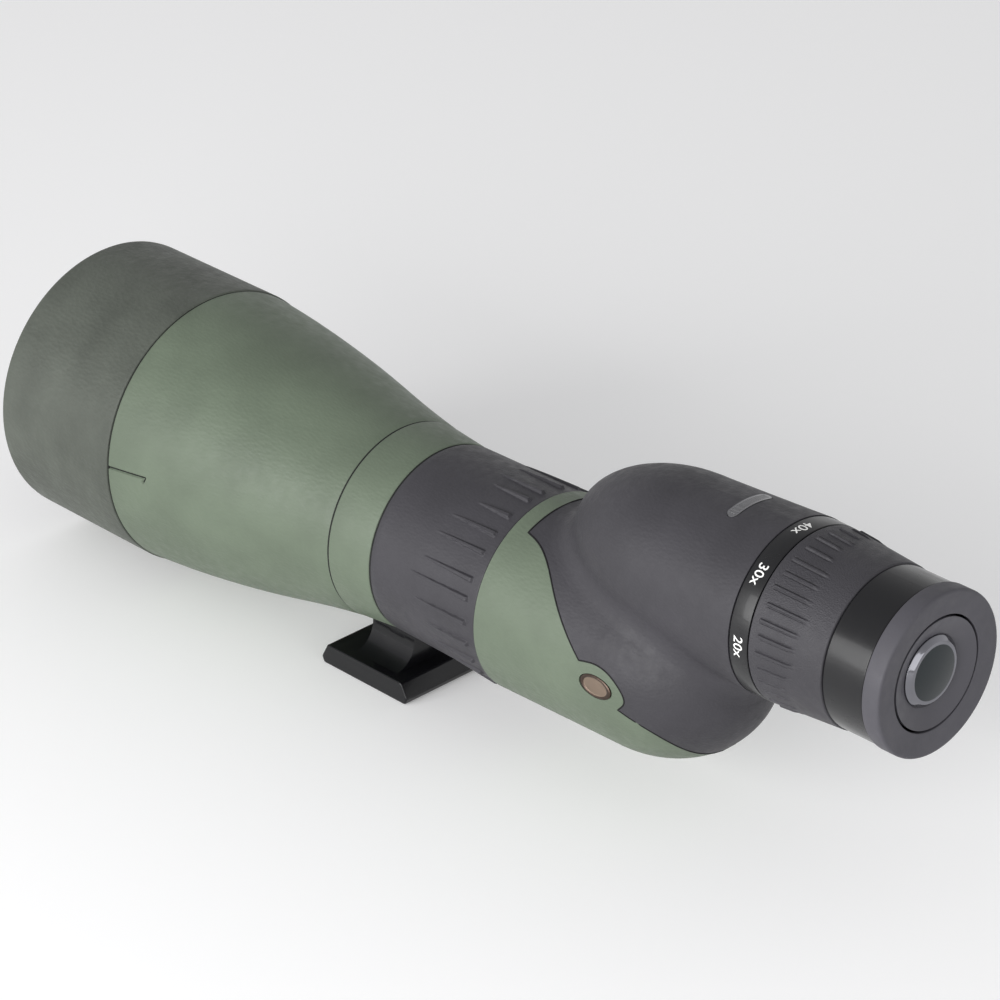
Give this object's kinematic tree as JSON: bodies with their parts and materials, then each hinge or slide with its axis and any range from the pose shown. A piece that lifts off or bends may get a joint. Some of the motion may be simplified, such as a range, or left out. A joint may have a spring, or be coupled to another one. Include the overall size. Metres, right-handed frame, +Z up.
{
  "type": "spotting scope",
  "caption": "Straight zoom spotting scope with a sliding lens hood, focus ring, offset prism housing, zoom eyepiece, twist-up eyecup and a dovetailed tripod foot.",
  "frame": {"origin": "mouth of the tripod thread, in the middle of the foot's underside", "axes": "+Y along the main optical axis towards the objective, +Z up, +X to the right of someone looking through the scope"},
  "size_m": [0.1046, 0.4024, 0.1242],
  "materials": {
    "armour_green": "fine-grained satin moss green",
    "armour_hood": "dark grey-green, leather grain, satin",
    "rubber_black": "dark grey, fine grain, satin",
    "eyecup_rubber": "dark grey, matte",
    "foot_black": "gloss black",
    "casting": "as cast, satin",
    "black_metal": "black anodised, satin",
    "coated_glass": "polished, faint green coating",
    "clear_glass": "polished",
    "steel": "plain",
    "gloss_black": "gloss black",
    "bronze_badge": "satin bronze",
    "silver_badge": "satin silver",
    "felt": "black felt"
  },
  "bodies": {
    "body": {"barrel_armour": "armour_green", "clip_screws": "steel", "collar_armour": "armour_green", "eye_inner_lens": "clear_glass", "eye_lens": "coated_glass", "eye_lens_cell": "black_metal", "eye_lens_spacer": "black_metal", "eye_retainer": "black_metal", "eyepiece_shell": "gloss_black", "eyepiece_tube": "black_metal", "field_stop": "black_metal", "foot_screws": "steel", "front_housing": "casting", "hood_friction_band": "felt", "housing_screws": "steel", "main_tube": "casting", "objective_barrel": "casting", "objective_cell": "black_metal", "objective_crown": "coated_glass", "objective_flint": "clear_glass", "objective_retainer": "black_metal", "objective_spacer": "black_metal", "prism_clip": "steel", "prism_lower": "clear_glass", "prism_plate": "casting", "prism_upper": "clear_glass", "rear_armour_black": "rubber_black", "rear_armour_green": "armour_green", "rear_housing": "casting", "side_badges": "bronze_badge", "top_badge": "silver_badge", "tripod_bush": "steel", "tripod_foot": "foot_black"},
    "hood": {"hood_tube": "black_metal", "hood_armour": "armour_hood"},
    "focus_control": {"focus_ring": "black_metal", "focus_grip": "rubber_black"},
    "focus_carriage": {"focus_cell": "black_metal", "focus_lens": "clear_glass", "focus_lens_ring": "black_metal", "focus_pin": "steel"},
    "zoom_control": {"zoom_cam": "black_metal", "zoom_sleeve": "black_metal", "zoom_scale": "gloss_black", "zoom_grip": "rubber_black"},
    "zoom_front_group": {"zoom_front_cell": "black_metal", "zoom_front_lens": "clear_glass", "zoom_front_ring": "black_metal", "zoom_front_pin": "steel"},
    "zoom_rear_group": {"zoom_rear_cell": "black_metal", "zoom_rear_lens": "clear_glass", "zoom_rear_ring": "black_metal", "zoom_rear_pin": "steel"},
    "eyecup_drive": {"eyecup_key_ring": "black_metal"},
    "eyecup_group": {"eyecup_sleeve": "black_metal", "eyecup_pin": "steel", "eyecup": "eyecup_rubber"}
  },
  "joints": [
    {"name": "hood_slide", "type": "slide", "parent": "body", "child": "hood", "axis": [0, 1, 0], "range_m": [0, 0.032]},
    {"name": "focus_turn", "type": "hinge", "parent": "body", "child": "focus_control", "pos_m": [0, -0.04, 0.0542], "axis": [0, 1, 0], "range_deg": [-270, 270]},
    {"name": "focus_slide", "type": "slide", "parent": "body", "child": "focus_carriage", "axis": [0, 1, 0], "range_m": [-0.0061, 0.0061]},
    {"name": "zoom_turn", "type": "hinge", "parent": "body", "child": "zoom_control", "pos_m": [0, -0.2, 0.0932], "axis": [0, 1, 0], "range_deg": [-82.5, 92.5]},
    {"name": "zoom_front_slide", "type": "slide", "parent": "body", "child": "zoom_front_group", "axis": [0, 1, 0], "range_m": [-0.0071, 0.0071]},
    {"name": "zoom_rear_slide", "type": "slide", "parent": "body", "child": "zoom_rear_group", "axis": [0, 1, 0], "range_m": [-0.0038, 0.0038]},
    {"name": "eyecup_turn", "type": "hinge", "parent": "body", "child": "eyecup_drive", "pos_m": [0, -0.222, 0.0932], "axis": [0, 1, 0], "range_deg": [0, 150]},
    {"name": "eyecup_slide", "type": "slide", "parent": "eyecup_drive", "child": "eyecup_group", "axis": [0, -1, 0], "range_m": [0, 0.0076]}
  ],
  "couplings": [
    {"joint": "focus_slide", "follows": "focus_turn", "m_per_rad": 0.0012732},
    {"joint": "zoom_front_slide", "follows": "zoom_turn", "m_per_rad": 0.0042972},
    {"joint": "zoom_rear_slide", "follows": "zoom_turn", "m_per_rad": -0.0022282},
    {"joint": "eyecup_slide", "follows": "eyecup_turn", "m_per_rad": 0.0028648}
  ]
}
